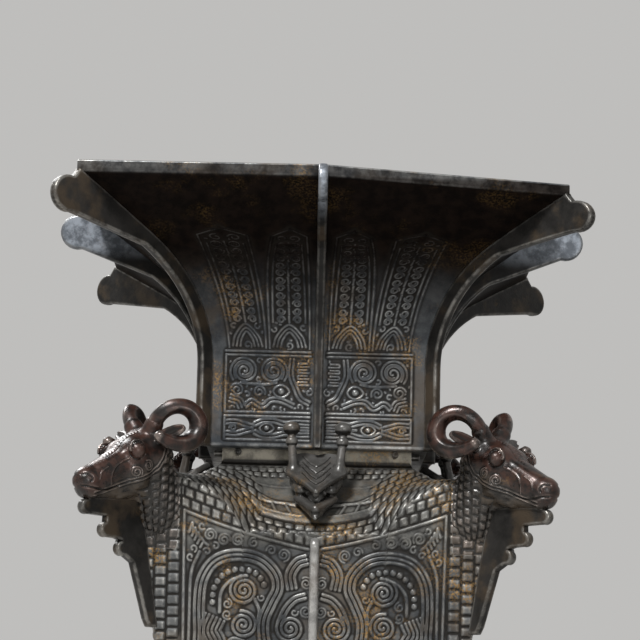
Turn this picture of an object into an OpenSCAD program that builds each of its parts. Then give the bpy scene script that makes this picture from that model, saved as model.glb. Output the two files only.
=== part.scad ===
// Square bronze zun: a flared wine vessel with four ram foreparts at the corners of the belly,
// four beast heads on the shoulder and flanges on every face and corner.
// Millimetres, +Z up, the front faces -Y, origin at the centre of the foot's underside.

/* [Mouth and neck] */
// Width of the square mouth across the lip
mouth_w = 520; // [490:1:560]
// Height of the plain upright lip
lip_h = 12.5; // [8:0.5:18]
// Width of the level land on top of the lip
lip_land = 9; // [6:0.5:12]
// Height of the flare, from the straight neck to the lip
flare_h = 182.5; // [172:0.5:205]
// Radius of the curve that opens the neck into the flare
flare_r = 160; // [125:1:164]
// Width of the neck across its straight part
neck_w = 242; // [236:1:262]
// Height of the straight part of the neck
neck_h = 91; // [60:1:110]
// Thickness of the neck wall
neck_wall = 6; // [5:0.5:9]
// Depth of the socket in which the neck takes the collar
socket_depth = 12; // [8:0.5:18]
// Width of the ledge inside the neck that sits on the collar
ledge_w = 4; // [3:0.5:6]
// Thickness of that ledge
ledge_t = 6; // [4:0.5:9]

/* [Shoulder] */
// Width of the plain square collar
collar_w = 208; // [196:1:214]
// Height of the collar that shows below the neck
collar_h = 18; // [12:1:28]
// Thickness of the collar wall
collar_wall = 8; // [7:0.5:11]
// Height of the sloping shoulder
shoulder_h = 80; // [70:1:88]
// Thickness of the shoulder wall, measured upright
shoulder_wall = 10; // [8:0.5:14]
// Radius, seen from above, of the raised shoulder panel
panel_r = 174; // [160:1:175]
// Height of the raised panel over the shoulder, measured upright
panel_rise = 2.4; // [1.6:0.2:5]
// Distance of each rest pin from the middle of its side
pin_side = 86; // [60:1:92]
// Diameter of a rest pin
pin_d = 7; // [5:0.5:9]
// Length of a rest pin that shows outside the collar
pin_out = 10; // [6:0.5:14]
// Depth of a rest pin in the collar wall
pin_in = 5; // [3:0.5:6]

/* [Belly] */
// Width of the belly at the edge of the shoulder
belly_w = 368; // [360:1:386]
// Width of the belly where its lower curve begins
belly_low_w = 337; // [322:1:346]
// Width of the belly where it stands on the foot
belly_base_w = 268; // [264:1:290]
// Height of the belly, from the foot to the edge of the shoulder
belly_h = 140; // [124:1:163]
// Height of the lower curve of the belly
belly_curve_h = 36; // [24:1:50]
// Thickness of the belly wall
belly_wall = 7; // [6:0.5:11]
// Thickness of the floor
floor_t = 7; // [5:0.5:12]
// Radius of the round corners of the inside
core_r = 202; // [190:1:203]

/* [Foot] */
// Height of the foot ring
foot_h = 76; // [55:1:100]
// Width of the foot ring at its top
foot_top_w = 256; // [250:1:262]
// Width of the foot ring above its base band
foot_low_w = 276; // [266:1:282]
// Width of the plain base band
foot_band_w = 286; // [282:1:296]
// Height of the plain base band
foot_band_h = 12; // [8:1:18]
// Thickness of the foot wall
foot_wall = 9; // [8:0.5:14]
// Width of the spigot under the belly
spigot_w = 236; // [226:1:240]
// Depth of the spigot in the foot ring
spigot_h = 10; // [6:0.5:16]
// Thickness of the spigot's wall
spigot_wall = 7; // [6:0.5:14]
// Least thickness of the foot ring round the spigot
socket_wall = 9; // [6:0.5:9.5]

/* [Flanges] */
// Thickness of the flanges
flange_t = 10; // [7:0.5:12]
// Depth of a flange's root in its slot
flange_root = 3; // [2:0.5:4]
// How far the neck flanges stand out
neck_flange_out = 14; // [9:0.5:18]
// How far the belly flanges stand out
belly_flange_out = 11; // [7:0.5:15]
// Distance from the edge of the shoulder down to the top of a belly flange
belly_flange_gap = 4; // [3:0.5:14]
// How far the foot flanges stand out
foot_flange_out = 9; // [6:0.5:12]
// Distance from the belly down to the top of a foot flange
foot_flange_gap = 4; // [2:0.5:8]
// Depth of the lower end of a foot flange in the base band
foot_flange_sink = 2; // [1:0.5:4]
// Height of the lower end of a belly flange over the foot
belly_flange_lift = 9; // [6:0.5:16]
// Radius of the round paddle at the end of a neck flange
paddle_r = 20; // [16:0.5:24]
// How far the middle paddles' centres lie outside the lip
mid_paddle_reach = 23; // [20:0.5:30]
// How far the middle paddles' centres lie below the lip
mid_paddle_drop = 13; // [8:0.5:20]
// How far the corner paddles' centres lie outside the lip's corner
corner_paddle_reach = 12; // [8:0.5:20]
// How far the corner paddles' centres lie below the lip
corner_paddle_drop = 27; // [24:0.5:34]

/* [Rams] */
// Distance of the seat of a ram inside the corner of the belly
seat_in = 27; // [22:0.5:32]
// Depth of the seat's ledge below the edge of the shoulder
seat_drop = 19; // [13:0.5:29]
// Radius of a ram's back
back_r = 75; // [68:0.5:80]
// Height of a ram's back over the edge of the shoulder
back_rise = 64; // [57:0.5:70]
// Diameter of the tenon behind a ram
ram_tenon_d = 20; // [14:0.5:24]
// Length of the tenon behind a ram
ram_tenon_l = 16; // [10:0.5:18]
// Distance of the skull's centre outside the corner of the belly
skull_out = 1.5; // [-1:0.5:6]
// Height of the skull's centre over the edge of the shoulder
skull_up = 82; // [78:0.5:88]
// Radius of the skull
skull_r = 27; // [24:0.5:28]
// Distance of the muzzle's centre outside the corner of the belly
muzzle_out = 76.5; // [68:0.5:86]
// Height of the muzzle's centre over the edge of the shoulder
muzzle_up = 42; // [36:0.5:48]
// Radius of the muzzle
muzzle_r = 16; // [13:0.5:19]
// Radius of the jaw at the cheeks
jaw_r = 18; // [15:0.5:21]
// Distance of the cheeks in front of the skull's centre
jaw_out = 6; // [2:0.5:10]
// How far the cheeks hang above the chin
jaw_lift = 3; // [1:0.5:6]
// Radius of the nape
nape_r = 27; // [24:0.5:29]
// Distance of the nape's centre in front of the seat
nape_out = 10; // [6:0.5:14]
// Height of the nape's centre over the edge of the shoulder
nape_up = 30; // [26:0.5:36]
// Radius of an eye
eye_r = 9; // [7:0.5:10]
// Radius of a horn's curl
curl_r = 21.5; // [20.5:0.5:24]
// Radius of a horn at its root
horn_r = 10; // [8.5:0.25:10.5]
// Radius of a horn at its tip
horn_tip_r = 5.5; // [4:0.25:7]
// Distance of a curl's centre from the middle of the head
curl_side = 44; // [42:0.5:48]
// Distance of a curl's centre behind the skull's centre
curl_back = 14.5; // [12:0.5:17]
// Height of a curl's centre over the skull's centre
curl_up = 27; // [26:0.5:31]
// Angle at which the curls open outward to the rear
horn_splay = 15; // [10:1:22]
// Diameter of a horn's tenon
horn_tenon_d = 8; // [6:0.5:10]
// Length of a horn's tenon
horn_tenon_l = 9; // [6:0.5:11]

/* [Chest flanges] */
// Depth of a chest flange's upper hook below the chin
upper_hook_drop = 30; // [26:0.5:36]
// Depth of a chest flange's lower hook below the chin
lower_hook_drop = 48; // [44:0.5:54]
// Radius of the hooks
hook_r = 8; // [6:0.5:10]
// Distance of the upper hook behind the muzzle's centre
upper_hook_in = 26; // [22:0.5:30]
// Distance of the lower hook behind the muzzle's centre
lower_hook_in = 49; // [43:0.5:54]
// Distance of the throat's round end in front of the muzzle's centre
throat_out = 1; // [0:0.5:6]
// Length of the throat's lower edge
throat_l = 26; // [22:0.5:30]
// Length of the upper hook's lower edge
upper_hook_l = 14; // [10:0.5:16]
// Depth of the waist below the lower hook
waist_drop = 14; // [11:0.5:20]
// How far the chest flange stands out of the belly's corner below the hooks
chest_out = 21; // [16:0.5:26]
// Height of the lower end of the chest flange over the foot
chest_foot_gap = 38; // [37:0.5:50]

/* [Beast heads] */
// Distance of a beast head's seat outside the collar
beast_seat_out = 40; // [36:0.5:44]
// Half of the width across the brows
brow_side = 27; // [23:0.5:32]
// How far the brows stand out of the shoulder
brow_out = 30; // [26:0.5:36]
// How far the snout stands out of the shoulder
snout_out = 40; // [36:0.5:48]
// Distance, down the slope, from the seat's centre to the snout's tip
snout_down = 36; // [32:0.5:42]
// Radius of the head's round edges
beast_edge_r = 5; // [4:0.25:6]
// Radius of the crown and of the throat where they meet the shoulder
crown_r = 8; // [7:0.25:9]
// Distance, up the slope, from the seat's centre to the crown
crown_back = 24; // [20:0.5:28]
// Half of the width across the crown
crown_side = 18; // [15:0.5:21]
// Distance of the open jaw's tip below the snout's tip, square to the shoulder
jaw_open = 27; // [23:0.5:30]
// How far the jaw's tip lies down the slope beyond the snout's tip
jaw_beyond = 16; // [11:0.5:20]
// Distance between the bottle horns' feet
bottle_gap = 42; // [38:0.5:46]
// Height of a bottle horn
bottle_h = 52; // [44:0.5:58]
// Angle at which the bottle horns spread
bottle_splay = 12; // [6:1:18]
// Radius of a bottle horn at its foot
bottle_foot_r = 6.75; // [5.5:0.25:8]
// Radius of a bottle horn under its knob
bottle_neck_r = 4.75; // [3.5:0.25:6]
// Radius of the knob on a bottle horn
knob_r = 8.75; // [7:0.25:10]
// Width of a beast head's tenon
beast_tenon_w = 26; // [20:0.5:32]
// Depth of a beast head's tenon
beast_tenon_h = 14; // [10:0.5:18]
// Length of the tenon that shows inside the shoulder
beast_tenon_over = 4; // [2:0.5:8]

/* [Fits] */
// Clearance of a tenon, pin, spigot or flange in its hole
fit = 0.2; // [0.1:0.05:0.4]
// Gap between the root of a horn and its boss
root_gap = 0.1; // [0.05:0.05:0.3]

/* [Hidden] */
SIDES = ["front", "right", "back", "left"];
CORNERS = ["front_right", "back_right", "back_left", "front_left"];
HANDS = ["a", "b"];
bronze = [0.27, 0.26, 0.24];
worn_bronze = [0.42, 0.39, 0.33];
red_bronze = [0.36, 0.24, 0.19];
$fn = 64;
arc_steps = 14;
diagonal = sqrt(2);
far = 1000;

mouth_half = mouth_w / 2;
neck_half = neck_w / 2;
collar_half = collar_w / 2;
belly_half = belly_w / 2;
shoulder_z = foot_h + belly_h;
collar_z = shoulder_z + shoulder_h;
neck_z = collar_z + collar_h;
collar_top = neck_z + socket_depth;
flare_z = neck_z + neck_h;
lip_z = flare_z + flare_h;
rim_z = lip_z + lip_h;
floor_z = foot_h + floor_t;
corner_u = belly_half * diagonal;

// Angles at which the chest flange's round hooks begin and end
hook_start = 80;
hook_end = -110;

// Angle at which the flare's curve runs over into its straight part
function flare_angle(radius, end_x, end_z) =
    atan2(end_z, -end_x) - acos(radius / norm([end_x, end_z]));
flare_centre = neck_half + flare_r;
outer_angle = flare_angle(flare_r, mouth_half - flare_centre, flare_h);
inner_r = flare_r + neck_wall;

// A point [half width, height] on the curve of the flare, and the neck's outline up to the lip
function flare_point(radius, angle) =
    [flare_centre - radius * cos(angle), flare_z + radius * sin(angle)];
neck_angles = [for (i = [0 : arc_steps]) outer_angle * i / arc_steps];
neck_line = concat(
    [[neck_half, neck_z]],
    [for (a = neck_angles) flare_point(flare_r, a)],
    [[mouth_half, lip_z]]);

// Slope angles of that outline at the same points, from the upright
neck_slopes = concat([0], neck_angles, [outer_angle]);
ledge_half = collar_half + fit - ledge_w;
cavity_half = neck_half - neck_wall;
cavity_line = concat(
    [[ledge_half, collar_top]],
    [[ledge_half, collar_top + ledge_t]],
    [[cavity_half, collar_top + ledge_t + cavity_half - ledge_half]],
    [for (a = neck_angles) flare_point(inner_r, a)],
    [[mouth_half - lip_land, rim_z]]);

// The belly's outline, from the foot up to the edge of the shoulder
belly_line = concat(
    [for (i = [0 : arc_steps])
        let (a = 90 * i / arc_steps)
        [(belly_base_w + (belly_low_w - belly_base_w) * sin(a)) / 2,
            foot_h + belly_curve_h * (1 - cos(a))]],
    [[belly_half, shoulder_z]]);

// The foot's outline above its base band, wide enough for the spigot at its top
foot_top_half = max(foot_top_w / 2, spigot_w / 2 + fit + socket_wall);
foot_line = [[foot_low_w / 2, foot_band_h], [foot_top_half, foot_h]];

// Points on an arc from one angle to another
function arc(centre, radius, from, to) =
    [for (i = [0 : arc_steps])
        let (a = from + (to - from) * i / arc_steps)
        centre + radius * [cos(a), sin(a)]];

// Half width on a line of [half width, height] points at a given height
function half_at(line, z) = lookup(z, [for (p = line) [p.y, p.x]]);

shoulder_slope = atan2(shoulder_h, belly_half - collar_half);

// Landmarks of a ram, as [distance from the axis along the diagonal, height]
seat_u = corner_u - seat_in;
seat_z = shoulder_z - seat_drop;
skull = [corner_u + skull_out, shoulder_z + skull_up];
muzzle = [corner_u + muzzle_out, shoulder_z + muzzle_up];
chin_z = muzzle.y - muzzle_r;
ram_tenon_z = shoulder_z + nape_up / 2;
jaw = [skull.x + jaw_out, chin_z + jaw_lift + jaw_r];
nape = [seat_u + nape_out, shoulder_z + nape_up];
eye_side = 0.94 * skull_r;
eye = skull + 0.39 * (muzzle - skull) + [0, 0.3 * skull_r];

// The ears grow from the skull and lie inside the curls
ear_r = 5;
ear_tip_r = 3;
ear_root = [skull.x - 0.3 * skull_r, 0.8 * skull_r, skull.y + 0.3 * skull_r];
ear_tip = [skull.x - curl_back - 1.7 * ear_r, curl_side + ear_tip_r, skull.y + 0.85 * skull_r];

// The horn's curl: its centre, its forward and outward directions, and its path
curl_centre = [skull.x - curl_back, curl_side, skull.y + curl_up];
curl_forward = [cos(horn_splay), -sin(horn_splay), 0];
curl_outward = [sin(horn_splay), cos(horn_splay), 0];
curl_start = 6;
curl_sweep = 327;
horn_rings = 24;
horn_sides = 10;
root_inset = 22;
tip_reach = 20;
tip_outset = 6;
boss_l = 12;
function horn_point(t) =
    let (a = curl_start + curl_sweep * t)
    let (r = curl_r + tip_reach * pow(t, 6))
    let (side = tip_outset * pow(t, 4) - root_inset * pow(1 - t, 4))
    curl_centre + curl_forward * r * cos(a) + [0, 0, r * sin(a)] + curl_outward * side;
function unit(v) = v / norm(v);
function horn_heading(t) = unit(horn_point(t + 0.002) - horn_point(t - 0.002));
function horn_radius(t) = horn_r + (horn_tip_r - horn_r) * pow(t, 4);
function horn_ring(t) =
    let (along = horn_heading(t))
    let (b = unit(curl_outward - along * (curl_outward * along)))
    let (a = cross(b, along))
    [for (k = [0 : horn_sides - 1])
        horn_point(t) + horn_radius(t) * (a * cos(360 * k / horn_sides) + b * sin(360 * k / horn_sides))];

// Square solid whose four sides follow one outline of [half width, height] points
module square_solid(line) {
    outline = concat(line, [for (i = [len(line) - 1 : -1 : 0]) [-line[i].x, line[i].y]]);
    intersection() {
        rotate([90, 0, 0])
            linear_extrude(2 * far, center = true) polygon(outline);
        rotate([90, 0, 90])
            linear_extrude(2 * far, center = true) polygon(outline);
    }
}

// Upright plate across the X axis plane from an outline of [distance from the axis, height]
module upright_plate(thickness) {
    rotate([90, 0, 0])
        linear_extrude(thickness, center = true) children();
}

// Turns a piece that lies along +X to side or corner number i
module at_side(i) {
    rotate(90 * i - 90) children();
}

module at_corner(i) {
    rotate(90 * i - 45) children();
}

// Lays +Z along a direction at a point
module aim(point, direction) {
    translate(point)
        rotate([0, acos(direction.z / norm(direction)), atan2(direction.y, direction.x)]) children();
}

// Neck flange outline: it follows the neck, stretched for a corner, and ends in a paddle
module neck_flange_outline(stretch, reach, drop) {
    function edge(i, out) =
        [neck_line[i].x * stretch, neck_line[i].y]
            + out * unit([cos(neck_slopes[i]), -stretch * sin(neck_slopes[i])]);
    last = len(neck_line) - 1;
    paddle = [mouth_half * stretch + reach, lip_z - drop];
    polygon(concat(
        [for (i = [0 : last]) edge(i, -flange_root)],
        [[mouth_half * stretch, lip_z]],
        arc(paddle, paddle_r, 105, -105),
        [for (i = [last - 1 : -1 : 0]) edge(i, neck_flange_out)]));
}

module mid_flange_outline() {
    neck_flange_outline(1, mid_paddle_reach, mid_paddle_drop);
}

module corner_flange_outline() {
    neck_flange_outline(diagonal, corner_paddle_reach, corner_paddle_drop);
}

// Flange outline along a stretch of an outline, with a round top
module strip_outline(line, low, high, stretch, out) {
    steps = [for (i = [0 : arc_steps]) low + (high - low) * i / arc_steps];
    polygon(concat(
        [for (z = steps) [half_at(line, z) * stretch - flange_root, z]],
        [[half_at(line, high) * stretch, high]],
        [for (a = [75 : -15 : 0])
            [half_at(line, high) * stretch + out * cos(a), high + out * (sin(a) - 1)]],
        [for (i = [arc_steps - 2 : -1 : 0])
            [half_at(line, steps[i]) * stretch + out, steps[i]]]));
}

module belly_flange_outline() {
    strip_outline(
        belly_line, foot_h + belly_flange_lift, shoulder_z - belly_flange_gap, 1, belly_flange_out);
}

module foot_flange_outline(stretch) {
    strip_outline(
        foot_line, foot_band_h - foot_flange_sink, foot_h - foot_flange_gap, stretch, foot_flange_out);
}

// Chest flange outline: from the chin down two hooks to the corner of the belly
module chest_flange_outline() {
    foot_end = foot_h + chest_foot_gap;
    lower_hook = [muzzle.x - lower_hook_in, chin_z - lower_hook_drop];
    upper_hook = [muzzle.x - upper_hook_in, chin_z - upper_hook_drop];
    throat = [muzzle.x + throat_out, chin_z - hook_r];
    belly_u = half_at(belly_line, foot_end) * diagonal;
    waist_z = lower_hook.y - waist_drop;
    waist_u = half_at(belly_line, waist_z) * diagonal;
    polygon([
        [belly_u - flange_root, foot_end],
        [waist_u - flange_root, waist_z],
        [corner_u - flange_root, shoulder_z],
        [jaw.x, jaw.y - jaw_r + flange_root],
        [muzzle.x, chin_z + flange_root],
        each arc(throat, hook_r, 90, hook_end),
        throat - [throat_l, hook_r],
        each arc(upper_hook, hook_r, hook_start, hook_end),
        upper_hook - [upper_hook_l, hook_r],
        each arc(lower_hook, hook_r, hook_start, hook_end),
        [waist_u + chest_out, waist_z],
        [belly_u + chest_out, foot_end + hook_r],
        [belly_u + chest_out - hook_r, foot_end]]);
}

// Outside of the belly and shoulder, with the raised panel and the four rams' backs
module body_outside() {
    shoulder_line = [[belly_half, shoulder_z], [collar_half, collar_z]];
    panel_lift = [for (p = shoulder_line) p + [0, panel_rise]];
    square_solid(concat(belly_line, [shoulder_line[1]]));
    intersection() {
        square_solid(concat([[belly_half, shoulder_z - 1]], panel_lift));
        cylinder(h = far, r = panel_r);
    }
    intersection() {
        square_solid(concat(belly_line, [[belly_half, far]]));
        for (i = [0 : 3])
            at_corner(i)
                translate([core_r / 2, 0, shoulder_z + back_rise - back_r])
                    rotate([0, 90, 0]) cylinder(h = far, r = back_r);
    }
}

// The part of the corner that belongs to a ram, beyond its seat
module ram_space() {
    translate([seat_u, -far / 2, seat_z]) cube([far, far, far]);
}

module ram_tenon(play) {
    translate([seat_u - ram_tenon_l - play, 0, ram_tenon_z])
        rotate([0, 90, 0]) cylinder(h = ram_tenon_l + play + 1, d = ram_tenon_d + 2 * play);
}

// Seat of a beast head on the raised panel, with +X down the slope and +Z out of it
module at_beast_seat() {
    seat_x = collar_half + beast_seat_out;
    seat_height = collar_z + panel_rise - (seat_x - collar_half) * tan(shoulder_slope);
    translate([seat_x, 0, seat_height])
        rotate([0, shoulder_slope, 0]) children();
}

module beast_tenon(play) {
    depth = (shoulder_wall + panel_rise) * cos(shoulder_slope) + beast_tenon_over;
    translate([-beast_tenon_h / 2 - play, -beast_tenon_w / 2 - play, -depth])
        cube([beast_tenon_h + 2 * play, beast_tenon_w + 2 * play, depth]);
}

module rest_pin_hole(side) {
    translate([collar_half - pin_in, side * pin_side, neck_z - pin_d / 2 - fit])
        rotate([0, 90, 0]) cylinder(h = pin_in + 1, d = pin_d + 2 * fit);
}

// Foot ring with its plain base band and the socket for the spigot
module foot_ring() {
    color(bronze)
        difference() {
            union() {
                square_solid(concat([[foot_low_w / 2, 0]], foot_line));
                square_solid([[foot_band_w / 2, 0], [foot_band_w / 2, foot_band_h]]);
            }
            square_solid([
                [foot_low_w / 2 - foot_wall, -1],
                [spigot_w / 2 + fit, foot_h - spigot_h - fit],
                [spigot_w / 2 + fit, foot_h + 1]]);
            for (i = [0 : 3]) {
                at_side(i) upright_plate(flange_t + 2 * fit) foot_flange_outline(1);
                at_corner(i) upright_plate(flange_t + 2 * fit) foot_flange_outline(diagonal);
            }
        }
}

// Belly, shoulder and collar in one casting, with the seats of everything that joins them
module body() {
    color(bronze)
        difference() {
            union() {
                body_outside();
                square_solid([[collar_half, collar_z - 1], [collar_half, collar_top]]);
                square_solid([[spigot_w / 2, foot_h - spigot_h], [spigot_w / 2, foot_h + 1]]);
            }
            intersection() {
                square_solid(concat(
                    [[half_at(belly_line, floor_z) - belly_wall, floor_z]],
                    [for (p = belly_line) if (p.y > floor_z && p.y < shoulder_z) p - [belly_wall, 0]],
                    [[belly_half - belly_wall, shoulder_z - shoulder_wall + belly_wall]],
                    [[collar_half - collar_wall, collar_z - shoulder_wall + collar_wall]],
                    [[collar_half - collar_wall, collar_top + 1]]));
                cylinder(h = far, r = core_r);
            }
            square_solid([
                [spigot_w / 2 - spigot_wall, foot_h - spigot_h - 1],
                [spigot_w / 2 - spigot_wall, foot_h]]);
            for (i = [0 : 3]) {
                at_corner(i) {
                    ram_space();
                    ram_tenon(fit);
                    upright_plate(flange_t + 2 * fit) chest_flange_outline();
                }
                at_side(i) {
                    upright_plate(flange_t + 2 * fit) belly_flange_outline();
                    at_beast_seat() beast_tenon(fit);
                    for (side = [-1, 1]) rest_pin_hole(side);
                }
            }
        }
}

// Flared neck with its lip, the socket for the collar and the slots for its flanges
module neck() {
    color(bronze)
        difference() {
            square_solid(concat(neck_line, [[mouth_half, rim_z]]));
            square_solid(concat(cavity_line, [cavity_line[len(cavity_line) - 1] + [0, 1]]));
            square_solid([[collar_half + fit, neck_z - 1], [collar_half + fit, collar_top]]);
            for (i = [0 : 3]) {
                at_side(i) upright_plate(flange_t + 2 * fit) mid_flange_outline();
                at_corner(i) upright_plate(flange_t + 2 * fit) corner_flange_outline();
            }
        }
}

module ball(place, side, radius) {
    translate([place.x, side, place.y]) sphere(radius, $fn = 24);
}

// Boss on the skull that carries a horn, square to the horn's root
module horn_boss() {
    aim(horn_point(0) - root_gap * horn_heading(0), -horn_heading(0)) cylinder(h = boss_l, r = horn_r);
}

module horn_tenon(play) {
    aim(horn_point(0) + horn_heading(0) * horn_r / 2, -horn_heading(0))
        cylinder(h = horn_tenon_l + horn_r / 2 + play, d = horn_tenon_d + 2 * play);
}

module mirrored_pair() {
    children();
    mirror([0, 1, 0]) children();
}

// Ram's chest, neck and head, with the eyes, the ears and the sockets of the horns
module ram() {
    color(red_bronze)
        difference() {
            union() {
                intersection() {
                    rotate(45) body_outside();
                    ram_space();
                }
                intersection() {
                    hull() {
                        ball(nape, 0, nape_r);
                        ball(skull, 0, skull_r);
                    }
                    ram_space();
                }
                hull() {
                    ball(skull, 0, skull_r);
                    ball(jaw, 0, jaw_r);
                    ball(muzzle, 0, muzzle_r);
                }
                ram_tenon(0);
                mirrored_pair() {
                    translate([eye.x, eye_side, eye.y]) sphere(eye_r);
                    hull() {
                        translate(ear_root) sphere(ear_r, $fn = 24);
                        translate(ear_tip) sphere(ear_tip_r, $fn = 24);
                    }
                    horn_boss();
                }
            }
            mirrored_pair() horn_tenon(fit);
            upright_plate(flange_t + 2 * fit) chest_flange_outline();
        }
}

// Curled horn, swept ring by ring along its path, with a round tenon at its root
module horn() {
    rings = [for (i = [0 : horn_rings]) horn_ring(i / horn_rings)];
    points = [for (ring = rings) each ring];
    walls = [for (i = [0 : horn_rings - 1], k = [0 : horn_sides - 1])
        let (a = i * horn_sides + k)
        let (b = i * horn_sides + (k + 1) % horn_sides)
        each [[a, b + horn_sides, b], [a, a + horn_sides, b + horn_sides]]];
    root_cap = [[for (k = [0 : horn_sides - 1]) k]];
    tip_cap = [[for (k = [horn_sides - 1 : -1 : 0]) horn_rings * horn_sides + k]];
    color(red_bronze) {
        polyhedron(points, concat(walls, root_cap, tip_cap));
        horn_tenon(0);
    }
}

// Beast head with brows, snout, jaw and two bottle horns, tenoned through the shoulder
module beast_head() {
    color(worn_bronze)
        at_beast_seat() {
            difference() {
                union() {
                    hull() {
                        mirrored_pair() {
                            translate([-crown_back, crown_side, crown_r - 1]) sphere(crown_r, $fn = 24);
                            translate([0, brow_side, brow_out]) sphere(beast_edge_r, $fn = 24);
                        }
                        translate([snout_down, 0, snout_out]) sphere(beast_edge_r, $fn = 24);
                        translate([snout_down / 2, 0, crown_r - 1]) sphere(crown_r, $fn = 24);
                    }
                    hull() {
                        mirrored_pair()
                            translate([snout_down / 2, crown_side - beast_edge_r, 2 * beast_edge_r])
                                sphere(beast_edge_r, $fn = 24);
                        translate([snout_down + jaw_beyond, 0, snout_out - jaw_open])
                            sphere(beast_edge_r - 1, $fn = 24);
                    }
                }
                translate([-far / 2, -far / 2, -far]) cube(far);
            }
            beast_tenon(0);
            mirrored_pair()
                translate([-crown_back / 2, bottle_gap / 2, 2 * crown_r])
                    rotate([-bottle_splay, -shoulder_slope, 0]) {
                        cylinder(h = bottle_h, r1 = bottle_foot_r, r2 = bottle_neck_r);
                        translate([0, 0, bottle_h - 1.5 * knob_r]) cylinder(h = knob_r / 2, r = knob_r - 1);
                        translate([0, 0, bottle_h]) sphere(knob_r);
                    }
        }
}

module mid_neck_flange() {
    color(worn_bronze) upright_plate(flange_t) mid_flange_outline();
}

module corner_neck_flange() {
    color(worn_bronze) upright_plate(flange_t) corner_flange_outline();
}

module belly_flange() {
    color(worn_bronze) upright_plate(flange_t) belly_flange_outline();
}

module chest_flange() {
    color(worn_bronze) upright_plate(flange_t) chest_flange_outline();
}

module foot_flange(stretch) {
    color(worn_bronze) upright_plate(flange_t) foot_flange_outline(stretch);
}

// Round pin in the collar, just under the neck
module rest_pin(side) {
    color(worn_bronze)
        translate([collar_half - pin_in, side * pin_side, neck_z - pin_d / 2 - fit])
            rotate([0, 90, 0]) cylinder(h = pin_in + pin_out, d = pin_d);
}

foot_ring();
body();
neck();
for (i = [0 : 3]) {
    at_corner(i) ram();
    at_corner(i) horn();
    at_corner(i) mirror([0, 1, 0]) horn();
    at_side(i) beast_head();
    at_side(i) mid_neck_flange();
    at_corner(i) corner_neck_flange();
    at_side(i) belly_flange();
    at_corner(i) chest_flange();
    at_side(i) foot_flange(1);
    at_corner(i) foot_flange(diagonal);
    at_side(i) rest_pin(1);
    at_side(i) rest_pin(-1);
}
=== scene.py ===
"""Looks of a square bronze zun: cast relief, ram heads, beast heads, flanges, patina, and painted light and
shade on a few zones.

Lengths are millimetres until a mesh is made. The front faces -Y and +Z is up.
"""
import math

import bpy
import numpy as np
from mathutils import Matrix, Vector


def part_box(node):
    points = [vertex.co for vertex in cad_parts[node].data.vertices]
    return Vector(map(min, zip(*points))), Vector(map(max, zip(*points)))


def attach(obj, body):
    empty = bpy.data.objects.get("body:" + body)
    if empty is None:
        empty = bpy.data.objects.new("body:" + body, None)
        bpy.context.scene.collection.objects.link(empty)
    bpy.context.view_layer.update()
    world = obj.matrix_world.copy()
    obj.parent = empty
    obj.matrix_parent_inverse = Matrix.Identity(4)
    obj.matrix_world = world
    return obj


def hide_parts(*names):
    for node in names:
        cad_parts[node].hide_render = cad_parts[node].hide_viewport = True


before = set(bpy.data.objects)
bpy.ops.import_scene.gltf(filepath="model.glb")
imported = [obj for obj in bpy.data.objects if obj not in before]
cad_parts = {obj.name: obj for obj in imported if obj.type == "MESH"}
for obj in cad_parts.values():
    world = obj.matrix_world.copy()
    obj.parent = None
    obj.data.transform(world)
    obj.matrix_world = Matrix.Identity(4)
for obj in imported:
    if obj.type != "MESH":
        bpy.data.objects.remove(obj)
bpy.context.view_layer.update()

MM = 0.001
SIDES = ["front", "right", "back", "left"]
CORNERS = ["front_right", "back_right", "back_left", "front_left"]
DIAGONAL = math.sqrt(2)


# Sizes, from the solids where their boxes give them

def node_box(name):
    return [np.array(corner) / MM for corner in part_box(name)]


neck_low, neck_high = node_box("neck")
body_low, body_high = node_box("body")
foot_high = node_box("foot_ring")[1]
mouth_half, rim_z, neck_z = neck_high[0], neck_high[2], neck_low[2]
belly_half, collar_top, spigot_z = body_high[0], body_high[2], body_low[2]
foot_band_half, foot_h = foot_high[0], foot_high[2]

neck_half = 121
neck_h = 91
neck_wall = 6
flare_r = 160
lip_h = 12.5
lip_land = 9
ledge_half = 100.2
ledge_t = 6
socket_half = 104.2
collar_half = 104
collar_wall = 8
collar_z = 296
shoulder_z = collar_z + collar_half - belly_half
shoulder_wall = 10
panel_r = 174
panel_rise = 2.4
belly_low_half = 168.5
belly_base_half = 134
belly_curve_h = 36
belly_wall = 7
floor_z = 83
core_r = 202
spigot_half = 118
spigot_wall = 7
foot_socket_half = 118.2
foot_socket_h = 10.2
foot_top_half = 128
foot_low_half = 138
foot_band_h = 12
foot_wall = 9
back_r = 75
back_rise = 64
seat_u = belly_half * DIAGONAL - 27
seat_z = shoulder_z - 19
flare_z = neck_z + neck_h
lip_z = rim_z - lip_h

# The corners of the thin rim sag, the one at the front right most
rim_sag = {"front_right": 16, "back_right": 6, "back_left": 4, "front_left": 1}
sag_start_z = 470

# Spacing of the fine grids that carry the relief
grain = 0.9


# Numbers and points

def ramp(value, width=1):
    """Rises smoothly from 0 to 1 while the value goes from 0 to the width."""
    t = np.clip(value / width, 0, 1)
    return t * t * (3 - 2 * t)


def stacked(*values):
    """Points from their coordinates, each a number or a grid."""
    return np.stack(np.broadcast_arrays(*values), -1)


def unit(vectors):
    return vectors / np.maximum(np.linalg.norm(vectors, axis=-1, keepdims=True), 1e-6)


def turned(points, degrees):
    """Points turned about the Z axis."""
    a = math.radians(degrees)
    x, y, z = np.moveaxis(points, -1, 0)
    return stacked(x * math.cos(a) - y * math.sin(a), x * math.sin(a) + y * math.cos(a), z)


def one_half(points):
    """Points of both halves of a symmetrical piece, brought to the half at +Y."""
    return stacked(points[..., 0], np.abs(points[..., 1]), points[..., 2])


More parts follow.
